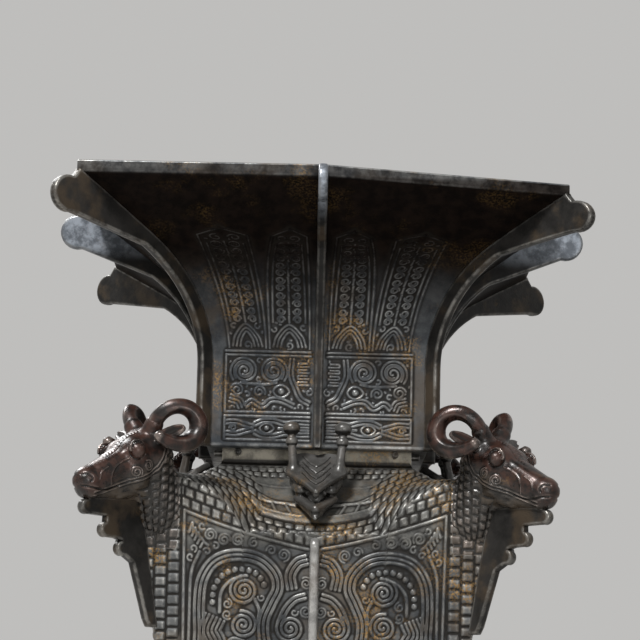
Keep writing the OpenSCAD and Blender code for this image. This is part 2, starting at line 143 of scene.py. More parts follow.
def sagged(points):
    """Lowers the corners of the mouth, and what is on them."""
    x, y, z = np.moveaxis(points, -1, 0)
    left = np.where(y < 0, rim_sag["front_left"], rim_sag["back_left"])
    right = np.where(y < 0, rim_sag["front_right"], rim_sag["back_right"])
    share = np.clip(np.abs(x * y) / mouth_half ** 2, 0, 1.2)
    drop = np.where(x < 0, left, right) * share * ramp(z - sag_start_z, rim_z - sag_start_z)
    return stacked(x, y, z - drop)


# Meshes

def ring_faces(rows, columns, closed):
    """Four-sided faces of a grid whose rows each run round the vessel."""
    index = np.arange(rows * columns).reshape(rows, columns)
    below = index if closed else index[:-1]
    above = np.roll(index, -1, 0) if closed else index[1:]
    return stacked(below, np.roll(below, -1, 1), np.roll(above, -1, 1), above).reshape(-1, 4)


def closed_ring(rings):
    """Points and faces of rings whose last joins the first."""
    return rings.reshape(-1, 3), ring_faces(*rings.shape[:2], True)


def tube(rings, start, end):
    """Points, quads and triangles of a tube of rings, closed by a fan at each end."""
    rows, columns = rings.shape[:2]
    k = np.arange(columns)
    last = (rows - 1) * columns
    low = stacked(np.roll(k, -1), k, rows * columns)
    high = stacked(last + k, last + np.roll(k, -1), rows * columns + 1)
    points = np.concatenate([rings.reshape(-1, 3), [start, end]])
    return points, ring_faces(rows, columns, False), np.concatenate([low, high])


def linked(name, data):
    """A new object in the scene."""
    obj = bpy.data.objects.new(name, data)
    bpy.context.scene.collection.objects.link(obj)
    return obj


def mesh_object(name, points, quads, triangles=np.zeros((0, 3), int)):
    """A mesh in metres from points in millimetres, with its normals outward."""
    halves = np.concatenate([triangles, quads[:, :3], quads[:, [0, 2, 3]]])
    a, b, c = (points[halves[:, k]] for k in range(3))
    if np.einsum("ij,ij->i", a, np.cross(b, c)).sum() < 0:
        quads = quads[:, ::-1]
        triangles = triangles[:, ::-1]
    corners = np.concatenate([quads.ravel(), triangles.ravel()])
    sizes = np.concatenate([np.full(len(quads), 4), np.full(len(triangles), 3)])
    starts = np.concatenate([[0], np.cumsum(sizes)[:-1]])
    mesh = bpy.data.meshes.new(name)
    mesh.vertices.add(len(points))
    mesh.vertices.foreach_set("co", (points * MM).astype(np.float32).ravel())
    mesh.loops.add(len(corners))
    mesh.loops.foreach_set("vertex_index", corners.astype(np.int32))
    mesh.polygons.add(len(sizes))
    mesh.polygons.foreach_set("loop_start", starts.astype(np.int32))
    mesh.update(calc_edges=True)
    return linked(name, mesh)


def vectors_of(items, name):
    """A vector of each of a mesh's items."""
    values = np.zeros(len(items) * 3, np.float32)
    items.foreach_get(name, values)
    return values.reshape(-1, 3).astype(float)


def store_wear(mesh):
    """Keeps how far each point stands out of its close and its wider surroundings, for the patina."""
    points = vectors_of(mesh.vertices, "co").T / MM
    normals = vectors_of(mesh.vertex_normals, "vector").T
    total = points.shape[1]
    ends = np.zeros(len(mesh.edges) * 2, np.int32)
    mesh.edges.foreach_get("vertices", ends)
    a, b = ends.reshape(-1, 2).T
    count = np.maximum(np.bincount(a, minlength=total) + np.bincount(b, minlength=total), 1)
    smooth = points
    for rounds, name in ((2, "edge"), (10, "lift")):
        for _ in range(rounds):
            around = [np.bincount(a, s[b], total) + np.bincount(b, s[a], total) for s in smooth]
            smooth = np.stack(around) / count
        out = ((points - smooth) * normals).sum(0)
        mesh.attributes.new(name, "FLOAT", "POINT").data.foreach_set("value", out.astype(np.float32))


def dress(obj, cad_node, material):
    """Gives a finished piece its shading, wear, material and place in the frame."""
    mesh = obj.data
    mesh.polygons.foreach_set("use_smooth", np.ones(len(mesh.polygons), bool))
    mesh.set_sharp_from_angle(angle=math.radians(70))
    store_wear(mesh)
    mesh.materials.clear()
    mesh.materials.append(material)
    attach(obj, "root")
    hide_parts(cad_node)


def place_four(name, places, mesh, material, shape=None):
    """Copies a piece that lies along +X to the four sides or corners; its name has a gap for the place."""
    points, *faces = mesh
    for i, place in enumerate(places):
        moved = turned(points, 90 * i - (90 if places is SIDES else 45))
        piece = name.format(place)
        obj = mesh_object(piece + "_cast", shape(moved) if shape else moved, *faces)
        dress(obj, piece, material)


def evaluated(obj):
    """A new mesh: the object's own, with its modifiers."""
    return bpy.data.meshes.new_from_object(obj.evaluated_get(bpy.context.evaluated_depsgraph_get()))


def cut_by(obj, cutter, operation):
    """A new object: obj after one boolean with a cutter."""
    change = obj.modifiers.new("cut", "BOOLEAN")
    change.operation = operation
    change.solver = "MANIFOLD"
    change.object = cutter
    made = evaluated(obj)
    obj.modifiers.remove(change)
    return linked(obj.name + "_cut", made)


def discard(obj):
    mesh = obj.data
    bpy.data.objects.remove(obj)
    bpy.data.meshes.remove(mesh)


def finer(points, quads, relief):
    """Smooths and divides a rough mesh once, then raises its ornament along the normals."""
    rough = mesh_object("rough", points, quads)
    rough.modifiers.new("finer", "SUBSURF").levels = 1
    fine = evaluated(rough)
    points = vectors_of(fine.vertices, "co") / MM
    normals = vectors_of(fine.vertex_normals, "vector")
    corners = np.zeros(len(fine.loops), np.int32)
    fine.loops.foreach_get("vertex_index", corners)
    discard(rough)
    bpy.data.meshes.remove(fine)
    return points + normals * relief(points, normals)[:, None], corners.reshape(-1, 4)


def surface_net(field, low, high, step):
    """Points and faces of the surface on which a signed field is zero."""
    axes = [np.arange(a, b + step, step) for a, b in zip(low, high)]
    inside = field(stacked(*np.meshgrid(*axes, indexing="ij"))) < 0
    x, y, z = (n - 1 for n in inside.shape)
    count = sum(inside[i:x + i, j:y + j, k:z + k].astype(np.int8)
                for i in (0, 1) for j in (0, 1) for k in (0, 1))
    active = (count > 0) & (count < 8)
    number = np.full(active.shape, -1)
    number[active] = np.arange(active.sum())
    middle = np.array(low) + (np.argwhere(active) + 0.5) * step
    points = middle.copy()
    probe = 0.1 * step
    for _ in range(5):
        slope = stacked(*(field(points + probe * e) - field(points - probe * e) for e in np.eye(3)))
        slope /= 2 * probe
        move = field(points)[:, None] * slope / np.maximum((slope ** 2).sum(1), 0.05)[:, None]
        points = np.clip(points - move, middle - 0.7 * step, middle + 0.7 * step)
    faces = []
    for axis in range(3):
        first = np.moveaxis(inside, axis, 0)[:, 1:-1, 1:-1]
        cell = np.moveaxis(number, axis, 0)
        change = first[:-1] != first[1:]
        i, j, k = np.nonzero(change)
        quads = stacked(*(cell[i, j + p, k + q] for p, q in ((0, 0), (1, 0), (1, 1), (0, 1))))
        backward = ~first[:-1][change]
        quads[backward] = quads[backward][:, ::-1]
        faces.append(quads[:, ::-1] if axis == 1 else quads)
    return points, np.concatenate(faces)


# Signed fields of simple shapes

def ball(p, centre, radius):
    return np.linalg.norm(p - np.array(centre, float), axis=-1) - radius


def knob(p, centre, wide, tall):
    """A flattened ball."""
    return (np.linalg.norm((p - np.array(centre, float)) / (wide, wide, tall), axis=-1) - 1) * tall


def round_cone(p, start, end, start_r, end_r):
    """A tapering rod with round ends."""
    start = np.array(start, float)
    axis = np.array(end, float) - start
    t = np.clip(((p - start) @ axis) / (axis @ axis), 0, 1)
    return np.linalg.norm(p - start - t[..., None] * axis, axis=-1) - start_r - (end_r - start_r) * t


def joined(a, b, blend):
    """Union of two fields with a rounded inner corner."""
    h = np.clip(0.5 + 0.5 * (b - a) / blend, 0, 1)
    return b + (a - b) * h - blend * h * (1 - h)


def joined_all(field, *forms):
    """A field with more forms joined to it in turn, each given with its blend."""
    for form, blend in forms:
        field = joined(field, form, blend)
    return field


def carved(a, b, blend):
    """The first field with the second taken out of it."""
    return -joined(-a, b, blend)


def round_edged(a, b, radius):
    """What lies inside both fields, with a round edge."""
    a = a + radius
    b = b + radius
    return np.minimum(np.maximum(a, b), 0) + np.hypot(np.maximum(a, 0), np.maximum(b, 0)) - radius


def line_distance(x, y, line):
    best = np.full(x.shape, np.inf)
    for (ax, ay), (bx, by) in zip(line[:-1], line[1:]):
        dx, dy = bx - ax, by - ay
        t = np.clip(((x - ax) * dx + (y - ay) * dy) / (dx * dx + dy * dy + 1e-9), 0, 1)
        best = np.minimum(best, (x - ax - t * dx) ** 2 + (y - ay - t * dy) ** 2)
    return np.sqrt(best)


def outline_distance(x, y, outline):
    """Signed distance to a closed outline, negative inside it."""
    ends = np.concatenate([outline, outline[:1]])
    inside = np.zeros(x.shape, bool)
    for (ax, ay), (bx, by) in zip(ends[:-1], ends[1:]):
        if ay != by:
            inside ^= ((ay > y) != (by > y)) & (x < (bx - ax) * (y - ay) / (by - ay) + ax)
    return np.where(inside, -1, 1) * line_distance(x, y, ends)


# Lines of the ornament

def curve(*corners, steps=7):
    """A smooth line through a few points."""
    p = np.array(corners, float)
    p = np.concatenate([[2 * p[0] - p[1]], p, [2 * p[-1] - p[-2]]])
    t = np.linspace(0, 1, steps, endpoint=False)[:, None]
    spans = [0.5 * (2 * b + (c - a) * t + (2 * a - 5 * b + 4 * c - d) * t ** 2
             + (3 * b - a - 3 * c + d) * t ** 3) for a, b, c, d in zip(p, p[1:], p[2:], p[3:])]
    return np.concatenate(spans + [p[-2:-1]])


def arc(centre, radius, start, end, steps=14):
    a = np.radians(np.linspace(start, end, steps + 1))
    return stacked(centre[0] + radius * np.cos(a), centre[1] + radius * np.sin(a))


def spiral(cx, cy, radius, turns, start, hand=1, core=1.5):
    t = np.linspace(0, 1, int(26 * turns) + 3)
    a = math.radians(start) + hand * 2 * math.pi * turns * t
    r = radius + (core - radius) * t
    return stacked(cx + r * np.cos(a), cy + r * np.sin(a))


def rounded(corners, radius=1.6, steps=3):
    """A line of corners with each inner corner rounded."""
    p = np.array(corners, float)
    t = np.linspace(0, 1, steps + 1)[:, None]
    points = [p[0]]
    for a, b, c in zip(p, p[1:], p[2:]):
        start, end = (b + unit(far - b) * min(radius, np.linalg.norm(far - b) / 2.2) for far in (a, c))
        points += list(start * (1 - t) ** 2 + 2 * b * t * (1 - t) + end * t ** 2)
    return np.array(points + [p[-1]])


class Relief:
    """A height map over one face, drawn with raised lines, cut lines and bosses; both halves are alike."""

    def __init__(self, x, y):
        self.x, self.y = np.broadcast_arrays(np.abs(x), y)
        self.height = np.zeros(self.x.shape)

    def profile(self, line, width, slope):
        """1 on the line and 0 beyond its sides."""
        line = np.asarray(line, float)
        reach = width / 2 + slope
        low = line.min(0) - reach
        high = line.max(0) + reach
        near = (self.x > low[0]) & (self.x < high[0]) & (self.y > low[1]) & (self.y < high[1])
        share = np.zeros(self.x.shape)
        share[near] = ramp(reach - line_distance(self.x[near], self.y[near], line), 2 * slope)
        return share

    def line(self, line, width=2.2, rise=1.0, slope=0.7):
        np.maximum(self.height, rise * self.profile(line, width, slope), out=self.height)

    def cut(self, line, width=1.2, depth=0.8, slope=0.6):
        self.height -= depth * self.profile(line, width, slope)

    def boss(self, cx, cy, radius, rise):
        inside = np.clip(1 - ((self.x - cx) ** 2 + (self.y - cy) ** 2) / radius ** 2, 0, 1)
        np.maximum(self.height, rise * np.sqrt(inside), out=self.height)

    def parallel(self, line, count, gap, **kind):
        """Several lines side by side."""
        heading = unit(np.gradient(line, axis=0))
        aside = stacked(-heading[:, 1], heading[:, 0]) * gap
        for k in range(count):
            self.line(line + aside * (k - (count - 1) / 2), **kind)

    def studs(self, line, gap, radius, rise):
        """Round studs at even steps along a line."""
        run = np.concatenate([[0], np.cumsum(np.linalg.norm(np.diff(line, axis=0), axis=1))])
        for at in np.arange(gap / 2, run[-1], gap):
            self.boss(np.interp(at, run, line[:, 0]), np.interp(at, run, line[:, 1]), radius, rise)

    def border(self, start, end, *heights):
        for y in heights:
            self.line([(start, y), (end, y)], 2.6, 1.2)

    def eye(self, cx, cy, length, height):
        """An almond eye with a round boss."""
        t = np.linspace(0, 2 * math.pi, 37)
        lid = stacked(cx + length * np.cos(t), cy + height * np.sin(t) * np.abs(np.sin(t)) ** 0.4)
        self.line(lid, 2.4, 1.2)
        self.boss(cx, cy, 0.6 * height, 2.2)

    def fill_gaps(self, low, high, sizes, keep, seed):
        """Small scrolls in whatever ground the main lines left free."""
        rng = np.random.default_rng(seed)
        for size in sizes:
            for cy in np.arange(low[1], high[1], 0.7 * size):
                for cx in np.arange(low[0], high[0], 0.7 * size):
                    near = (self.x - cx) ** 2 + (self.y - cy) ** 2 < (size + 0.7) ** 2
                    if near.any() and keep(cx, cy) and self.height[near].max() < 0.15:
                        hand = rng.choice((-1, 1))
                        scroll = spiral(cx, cy, size - 0.2, 0.34 * size - 0.6, rng.uniform(0, 360), hand)
                        self.line(scroll, 2.0, 0.8)


def tiles(along, across, length, width, rise=1.6, edge=3.4):
    """Rows of square scales like small pillows, a little uneven."""
    row = np.floor(across / width)
    place = along / length + 0.37 * row
    column = np.floor(place)
    uneven = np.sin(12.9 * row + 78.2 * column) * 43.7
    uneven -= np.floor(uneven)
    u = np.abs(place - column - 0.5)
    v = across / width - row
    side = ramp((0.5 - u) * length, edge)
    end = ramp(np.minimum(v, 1 - v) * width, edge)
    return rise * side * end * (1.1 - 0.3 * v - 0.9 * u * u) * (0.8 + 0.3 * uneven)


# Materials

brown_patina = (0.09, 0.064, 0.040)
black_hollow = (0.010, 0.0085, 0.007)
ochre_earth = (0.30, 0.175, 0.055)


def node(kind, inputs, **settings):
    """Outputs of a new shader node. Its inputs go by number or name, and the first is a socket."""
    tree = next(iter(inputs.values())).id_data
    made = tree.nodes.new("ShaderNode" + kind)
    for key, value in settings.items():
        setattr(made, key, value)
    for key, value in inputs.items():
        if isinstance(value, bpy.types.NodeSocket):
            tree.links.new(value, made.inputs[key])
        else:
            made.inputs[key].default_value = value
    return made.outputs


def attribute(tree, name):
    made = tree.nodes.new("ShaderNodeAttribute")
    made.attribute_name = name
    return made.outputs["Fac"]


def noise(where, scale, detail, roughness=0.55):
    kind = {"Vector": where, "Scale": scale, "Detail": detail, "Roughness": roughness}
    return node("TexNoise", kind)["Fac"]


def ranged(value, low, high, to_low=0.0, to_high=1.0):
    """Maps a value from low..high to a smooth share."""
    ends = {"Value": value, 1: low, 2: high, 3: to_low, 4: to_high}
    return node("MapRange", ends, interpolation_type="SMOOTHSTEP")["Result"]


def combined(operation, a, b):
    return node("Math", {0: a, 1: b}, operation=operation)["Value"]


def product(value, *others):
    for other in others:
        value = combined("MULTIPLY", value, other)
    return value


def mixed(share, a, b):
    """One colour over another, by a share; each is a socket or a plain colour."""
    a, b = (c if isinstance(c, bpy.types.NodeSocket) else (*c, 1) for c in (a, b))
    return node("Mix", {0: share, 6: a, 7: b}, data_type="RGBA")[2]


def height_of(where):
    return node("SeparateXYZ", {0: where})["Z"]


def facing_up(where):
    """How far a face looks up, as a socket in the same tree."""
    return height_of(where.id_data.nodes.new("ShaderNodeNewGeometry").outputs["Normal"])


def head_share(where):
    """1 on the rams' heads and horns, 0 on their chests, by the distance from the axis and the height."""
    level = node("VectorMath", {0: where, 1: (1, 1, 0)}, operation="MULTIPLY")["Vector"]
    out = node("VectorMath", {0: level}, operation="LENGTH")["Value"]
    return ranged(combined("ADD", product(out, 0.6), height_of(where)), 0.44, 0.458)


def flare_painted_shade(where):
    """Painted shade: 1 on the underside of the flare, which is painted near black as the shade it would lie
    in, less on the lip, 0 below and inside.
    """
    height = height_of(where)
    on_flare = product(ranged(height, 0.44, 0.53), ranged(height, 0.584, 0.5885, 1, 0.75))
    return product(on_flare, ranged(facing_up(where), 0.3, 0.1))


def collar_dust_and_painted_light(where):
    """1 on the plain collar under the neck, which is dusty tan and also lightened as painted light where the
    neck's overhang shades it, and a little on the shoulder, lightened as painted light from above.
    """
    height = height_of(where)
    return combined("MAXIMUM", ranged(height, 0.297, 0.3), ranged(height, 0.19, 0.215, 0, 0.25))


def paddle_painted_light(where):
    """Painted light: 1 on the paddles at the top of the flanges, which are painted pale and bluish as light
    catching them.
    """
    return ranged(height_of(where), 0.54, 0.562)


def painted_under_shade(where):
    """Painted shade: 1 on faces that look down, which are painted near black as the shade they would lie in.
    """
    return ranged(facing_up(where), -0.25, -0.5)


def bronze(name, dark, light, bare, rough, warm_level, gloss, special=None, special_colours=None):
    """Old cast bronze: blotchy patina, black hollows, ochre flecks, bare metal where it is rubbed."""
    material = bpy.data.materials.new(name)
    material.use_nodes = True
    tree = material.node_tree
    where = tree.nodes.new("ShaderNodeTexCoord").outputs["Object"]
    edge = attribute(tree, "edge")
    lift = attribute(tree, "lift")
    patches = noise(where, 10, 6)
    specks = noise(where, 70, 6, 0.65)
    mottle = combined("ADD", product(patches, 0.6), product(specks, 0.4))
    colour = mixed(ranged(mottle, 0.37, 0.63), dark, light)
    colour = mixed(ranged(noise(where, 21, 6), 0.5, 0.64, 0, 0.5), colour, brown_patina)
    # Each material's second colour over one zone: painted shade on the flare and on downward faces, painted
    # light on the paddles and partly on the collar and shoulder, and the rams' reddish patina.
    if special:
        share = special(where)
        colour = mixed(share, colour, mixed(ranged(specks, 0.38, 0.62), *special_colours))
    colour = mixed(product(ranged(lift, -0.03, -0.27), 0.95), colour, black_hollow)
    rubbed = combined("MAXIMUM", ranged(lift, 0.18, 0.7), ranged(edge, 0.08, 0.26))
    rubbed = product(rubbed, ranged(specks, 0.36, 0.66, 0.12, 0.9), ranged(patches, 0.34, 0.62, 0.25, 1))
    shine = ranged(rubbed, 0.0, 0.6, gloss, 0.6)
    earth = ranged(noise(where, 15, 8, 0.6), warm_level, warm_level + 0.14)
    flecks = product(earth, ranged(noise(where, 420, 3), 0.42, 0.62))
    # The painted shade on the flare also takes away the rubbed metal, its shine and the earth flecks there.
    if special is flare_painted_shade:
        outside = ranged(share, 0, 1, 1, 0.15)
        rubbed, shine, flecks = (product(value, outside) for value in (rubbed, shine, flecks))
    colour = mixed(rubbed, colour, bare)
    colour = mixed(product(flecks, ranged(lift, -0.3, 0.25, 0.35, 0.95)), colour, ochre_earth)
    dull = ranged(patches, 0.3, 0.7, rough - 0.05, rough + 0.1)
    skin = node("Bump", {"Height": noise(where, 300, 6, 0.62), "Strength": 0.4, "Distance": 0.0007})
    shader = tree.nodes["Principled BSDF"].inputs
    tree.links.new(colour, shader["Base Color"])
    tree.links.new(ranged(rubbed, 0.0, 1.0, 0.25, 0.85), shader["Metallic"])
    tree.links.new(combined("SUBTRACT", dull, product(rubbed, 0.16)), shader["Roughness"])
    tree.links.new(shine, shader["Specular IOR Level"])
    tree.links.new(skin["Normal"], shader["Normal"])
    return material


# The body's second colour is a light dusty tan on the collar, partly painted light, and a little of it on the
# shoulder as painted light from above.
dark_bronze = bronze("dark_bronze", (0.027, 0.030, 0.034), (0.110, 0.113, 0.113), (0.36, 0.355, 0.335),
                     0.37, 0.495, 0.2, collar_dust_and_painted_light, ((0.12, 0.11, 0.09), (0.25, 0.23, 0.185)))
# The neck's second colour is near-black painted shade on the underside of the flare and on the lip.
neck_bronze = bronze("neck_bronze", (0.025, 0.029, 0.034), (0.096, 0.101, 0.105), (0.27, 0.27, 0.26),
                     0.38, 0.53, 0.2, flare_painted_shade, ((0.004, 0.003, 0.0025), (0.009, 0.006, 0.0045)))
worn_bronze = bronze("worn_bronze", (0.010, 0.0096, 0.009), (0.030, 0.028, 0.026), (0.26, 0.25, 0.23),
                     0.36, 0.64, 0.2)
# The paddles' second colour is pale bluish painted light.
paddle_bronze = bronze("paddle_bronze", (0.008, 0.0077, 0.0075), (0.022, 0.021, 0.020), (0.14, 0.135, 0.125),
                       0.36, 0.64, 0.2, paddle_painted_light, ((0.09, 0.10, 0.115), (0.25, 0.275, 0.31)))
# The beast heads' second colour is near-black painted shade on faces that look down.
bright_bronze = bronze("bright_bronze", (0.045, 0.043, 0.040), (0.13, 0.126, 0.12), (0.55, 0.54, 0.51),
                       0.27, 0.66, 0.5, painted_under_shade, ((0.006, 0.005, 0.004), (0.010, 0.009, 0.008)))
polished_bronze = bronze("polished_bronze", (0.14, 0.136, 0.13), (0.28, 0.275, 0.265), (0.60, 0.59, 0.57),
                         0.24, 0.66, 0.6)
red_bronze = bronze("red_bronze", (0.018, 0.016, 0.014), (0.062, 0.055, 0.048), (0.34, 0.29, 0.26),
                    0.25, 0.64, 0.5, head_share, ((0.011, 0.0085, 0.0075), (0.055, 0.026, 0.019)))


# Outlines of the vessel, as [half width, height] points

flare_centre = neck_half + flare_r
flare_tip = (mouth_half - flare_centre, lip_z - flare_z)
flare_angle = math.atan2(flare_tip[1], -flare_tip[0]) - math.acos(flare_r / math.hypot(*flare_tip))
flare_arc = flare_r * flare_angle
flare_end = neck_h + flare_arc + math.sqrt(flare_tip[0] ** 2 + flare_tip[1] ** 2 - flare_r ** 2)


def neck_line(along):
    """Half width, height and slope of the neck's outside, by the distance along it from its lower edge."""
    angle = np.clip((along - neck_h) / flare_r, 0, flare_angle)
    rest = np.maximum(along - neck_h - flare_arc, 0)
    half = flare_centre - flare_r * np.cos(angle) + rest * math.sin(flare_angle)
    z = neck_z + np.minimum(along, neck_h) + flare_r * np.sin(angle) + rest * math.cos(flare_angle)
    return half, z, angle


def belly_line(z):
    """Half width of the belly at a height."""
    a = np.arccos(np.clip(1 - (z - foot_h) / belly_curve_h, -1, 1))
    low = belly_base_half + (belly_low_half - belly_base_half) * np.sin(np.minimum(a, math.pi / 2))
    low_z = foot_h + belly_curve_h
    share = (z - low_z) / (shoulder_z - low_z)
    wall = belly_low_half + (belly_half - belly_low_half) * np.clip(share, 0, 1)
    return np.where(z < low_z, low, wall)


def foot_line(z):
    """Half width of the foot at a height."""
    return foot_low_half + (foot_top_half - foot_low_half) * (z - foot_band_h) / (foot_h - foot_band_h)


def all_round(face):
    """The front face's grid of points, repeated on the four sides as one ring."""
    return np.concatenate([turned(face, 90 * i) for i in range(4)], 1)


def plain_face(line, across):
    """Grid of points over a line of [half width, height] points."""
    half, z = line[:, :1], line[:, 1:]
    return stacked(across * half, -half, z)


def steps_across(half):
    """Places over a face from -1 to 1, a grain apart; the next face has the last corner."""
    return np.linspace(-1, 1, int(2 * half / grain), endpoint=False)


# Neck

def dragon_band(relief, low, high, start, end):
    """A long one-eyed dragon in a narrow band: a body of flowing bands, with scrolls at its ends."""
    def at(across, up):
        return start + across * (end - start), (low + high) / 2 + up * (high - low) / 2

    size = (high - low) / 2
    broad = {"width": 2.9, "rise": 1.1}
    relief.border(start, end, low, high)
    relief.line([at(1, -1), at(1, 1)], 2.6, 1.2)
    relief.eye(*at(0.5, 0), 0.6 * size, 0.42 * size)
    for up in (-1, 1):
        body = curve(at(0.01, 0.5 * up), at(0.14, 0.52 * up), at(0.28, 0.4 * up), at(0.4, 0.62 * up),
                     at(0.54, 0.64 * up), at(0.64, 0.34 * up))
        tail = curve(at(0.66, 0.1 * up), at(0.76, 0.3 * up), at(0.86, 0.5 * up), at(0.98, 0.46 * up))
        relief.parallel(body, 2, 3.9, **broad)
        relief.parallel(tail, 2, 3.9, **broad)
        relief.line(curve(at(0.01, 0.12 * up), at(0.18, 0.12 * up), at(0.36, 0.02 * up)), 2.6, 1.1)
    relief.line(spiral(*at(0.9, 0), 0.3 * size, 1.2, 0, 1), 2.4, 1.1)


def mask_band(relief, low, high, start, end):
    """Half of an animal mask: a ribbed nose, two linked horns, an eye, a wavy jaw and claws."""
    def at(across, up):
        return start + across * (end - start), low + up * (high - low)

    size = high - low
    broad = {"width": 3.0, "rise": 1.15}
    relief.border(start, end, low, high - 4.2, high)
    relief.line([at(1, 0), at(1, 0.93)], 2.6, 1.2)
    for up in (0.46, 0.56, 0.66, 0.76):
        rib = [at(0.02, up), at(0.15, up), at(0.15, up + 0.05), at(0.04, up + 0.05)]
        relief.line(rounded(rib), 2.2, 1.1)
    nose = curve(at(0.22, 0.88), at(0.23, 0.62), at(0.17, 0.4), at(0.11, 0.24), at(0.01, 0.16))
    jaw = curve(at(0.2, 0.12), at(0.34, 0.2), at(0.46, 0.2), at(0.56, 0.1), at(0.68, 0.18), at(0.76, 0.1))
    relief.parallel(nose, 2, 4.1, **broad)
    relief.parallel(jaw, 2, 4.1, **broad)
    for across, hand in ((0.44, -1), (0.78, 1)):
        horn = spiral(*at(across, 0.68), 0.21 * size, 1.9, 90 - 130 * hand, hand, 3)
        relief.parallel(horn, 2, 3.8, width=2.9, rise=1.15)
    relief.line(curve(at(0.4, 0.49), at(0.52, 0.46), at(0.66, 0.46), at(0.82, 0.48)), **broad)
    relief.eye(*at(0.34, 0.35), 0.13 * size, 0.1 * size)
    relief.line(spiral(*at(0.6, 0.34), 0.1 * size, 1.5, 200, -1), 2.6, 1.15)
    relief.line(spiral(*at(0.86, 0.36), 0.11 * size, 1.6, 20, 1), 2.6, 1.15)
    relief.parallel(curve(at(0.8, 0.08), at(0.84, 0.18), at(0.94, 0.22)), 3, 3.9, width=2.8, rise=1.1)


def leaf(relief, left, right, low, high, step=9):
    """A plantain blade between two edge functions: a double rim, arches at its foot, scrolls on a stem."""
    up = np.linspace(low, high, 60)
    tip = [((left(high) + right(high)) / 2, high + 3)]
    for edge, hand in ((left, 1), (right, -1)):
        line = stacked(edge(up), up)
        relief.line(np.concatenate([line[:-3], tip]), 2.0, 0.8)
        relief.line(line[12:-8] + (4.4 * hand, 0), 2.0, 0.9)
    foot = low + 2
    middle = (left(foot) + right(foot)) / 2
    reach = (right(foot) - left(foot)) / 2 - 4
    for inset in (0, 4.1, 8.2):
        w = reach - inset
        knee = foot + 12 - 0.5 * inset
        arch = curve((middle - w, foot), (middle - 0.75 * w, knee), (middle, foot + 24 - inset),
                     (middle + 0.75 * w, knee), (middle + w, foot))
        relief.line(arch, 2.7, 1.15)
    for i, y in enumerate(np.arange(low + 32, high - 12, step)):
        middle = (left(y) + right(y)) / 2
        space = (right(y) - left(y)) / 2 - 6.6
        size = min(0.46 * step, space / 2)
        relief.line([(middle, y - step / 2 + 1), (middle, y + step / 2 - 1)], 2.2, 1.1)
        for side in (-1, 1):
            hand = side * (1 if i % 2 else -1)
            scroll = spiral(middle + side * (0.5 * space + 1.2), y, size, 1.6, 90 + 90 * side, hand)
            relief.line(scroll, 2.0, 1.1)


def neck_relief(x, along):
    """The neck's ornament: a dragon band, a mask band and plantain leaves that rise into the flare."""
    relief = Relief(x * neck_half / neck_line(along)[0], along)
    dragon_band(relief, 8, 34, 9, 102)
    mask_band(relief, 38.5, 106, 9, 102)
    foot, top = 110, 252

    def bow(y):
        return ((y - foot) / (top - foot)) ** 2

    leaves = ((lambda y: 10.5 + 0 * y, lambda y: 54 - 22 * bow(y)),
              (lambda y: 58 - 7 * bow(y), lambda y: 98 - 13 * bow(y)))
    for left, right in leaves:
        leaf(relief, left, right, foot, top)

    def in_ornament(cx, cy):
        in_leaf = any(left(cy) < cx < right(cy) for left, right in leaves)
        return cy < 33 or 40 < cy < 101 or (foot < cy and in_leaf)

    relief.fill_gaps((10, 10), (101, 246), (4.6, 3.6, 2.8, 2.1), in_ornament, 2)
    return relief.height * ramp(neck_half - relief.x, 6)


def build_neck():
    across = steps_across(neck_half)
    along = np.concatenate([np.arange(1.5, 256, grain), np.linspace(258, flare_end - 2, 26)])[:, None]
    half, z, slope = neck_line(along)
    height = neck_relief(across * half, along)
    outside = stacked(across * half, -half - height * np.cos(slope), z - height * np.sin(slope))
    inner_r = flare_r + neck_wall
    angles = np.linspace(flare_angle, 0, 80)
    cavity = stacked(flare_centre - inner_r * np.cos(angles), flare_z + inner_r * np.sin(angles))
    cavity_half = neck_half - neck_wall
    lip = rounded([(mouth_half - 1.5, lip_z - 1.1), (mouth_half, lip_z), (mouth_half, rim_z),
                   (mouth_half - lip_land, rim_z), cavity[0]], 2.2, 4)
    ledge = rounded([cavity[-1], (cavity_half, collar_top + ledge_t + cavity_half - ledge_half),
                     (ledge_half, collar_top + ledge_t), (ledge_half, collar_top), (socket_half, collar_top),
                     (socket_half, neck_z), (neck_half - 1.2, neck_z)], 1.2)
    slope_rows = np.linspace(lip[-2], cavity[0], 30)[1:-1]
    bore_rows = np.linspace(ledge[0], ledge[1], 16)[1:-1]
    inside = np.concatenate([lip[:-1], slope_rows, cavity[:-1], ledge[:1], bore_rows, ledge[1:]])
    points = sagged(all_round(np.concatenate([outside, plain_face(inside, across)])))
    dress(mesh_object("neck_shell", *closed_ring(points)), "neck", neck_bronze)


# Belly, shoulder and collar

band_low = 201
band_tilt = 0.177
band_bow = 0.00078
scale_size = 11.5
corner_scales_x = 142
wall_rows = int(170 / grain)
roof_rows = int(94 / grain)
edge_rows = 14
edge_rounds = 40


def band_edge(x):
    """Lower edge of the scale band, which climbs towards the rams."""
    return band_low + band_tilt * x + band_bow * x * x


def shoulder_top(x, out):
    """Height of the shoulder with its raised panel and the rams' backs, over a place on the front."""
    roof = shoulder_z + belly_half - out
    panel = panel_rise * ramp(panel_r - np.hypot(x, out), 5)
    aside = np.abs(out - np.abs(x)) / DIAGONAL
    back = shoulder_z + back_rise - back_r + np.sqrt(np.maximum(back_r ** 2 - aside ** 2, 0))
    return -joined(-(roof + panel), 2 * np.maximum(aside - back_r, 0) - back, 22)


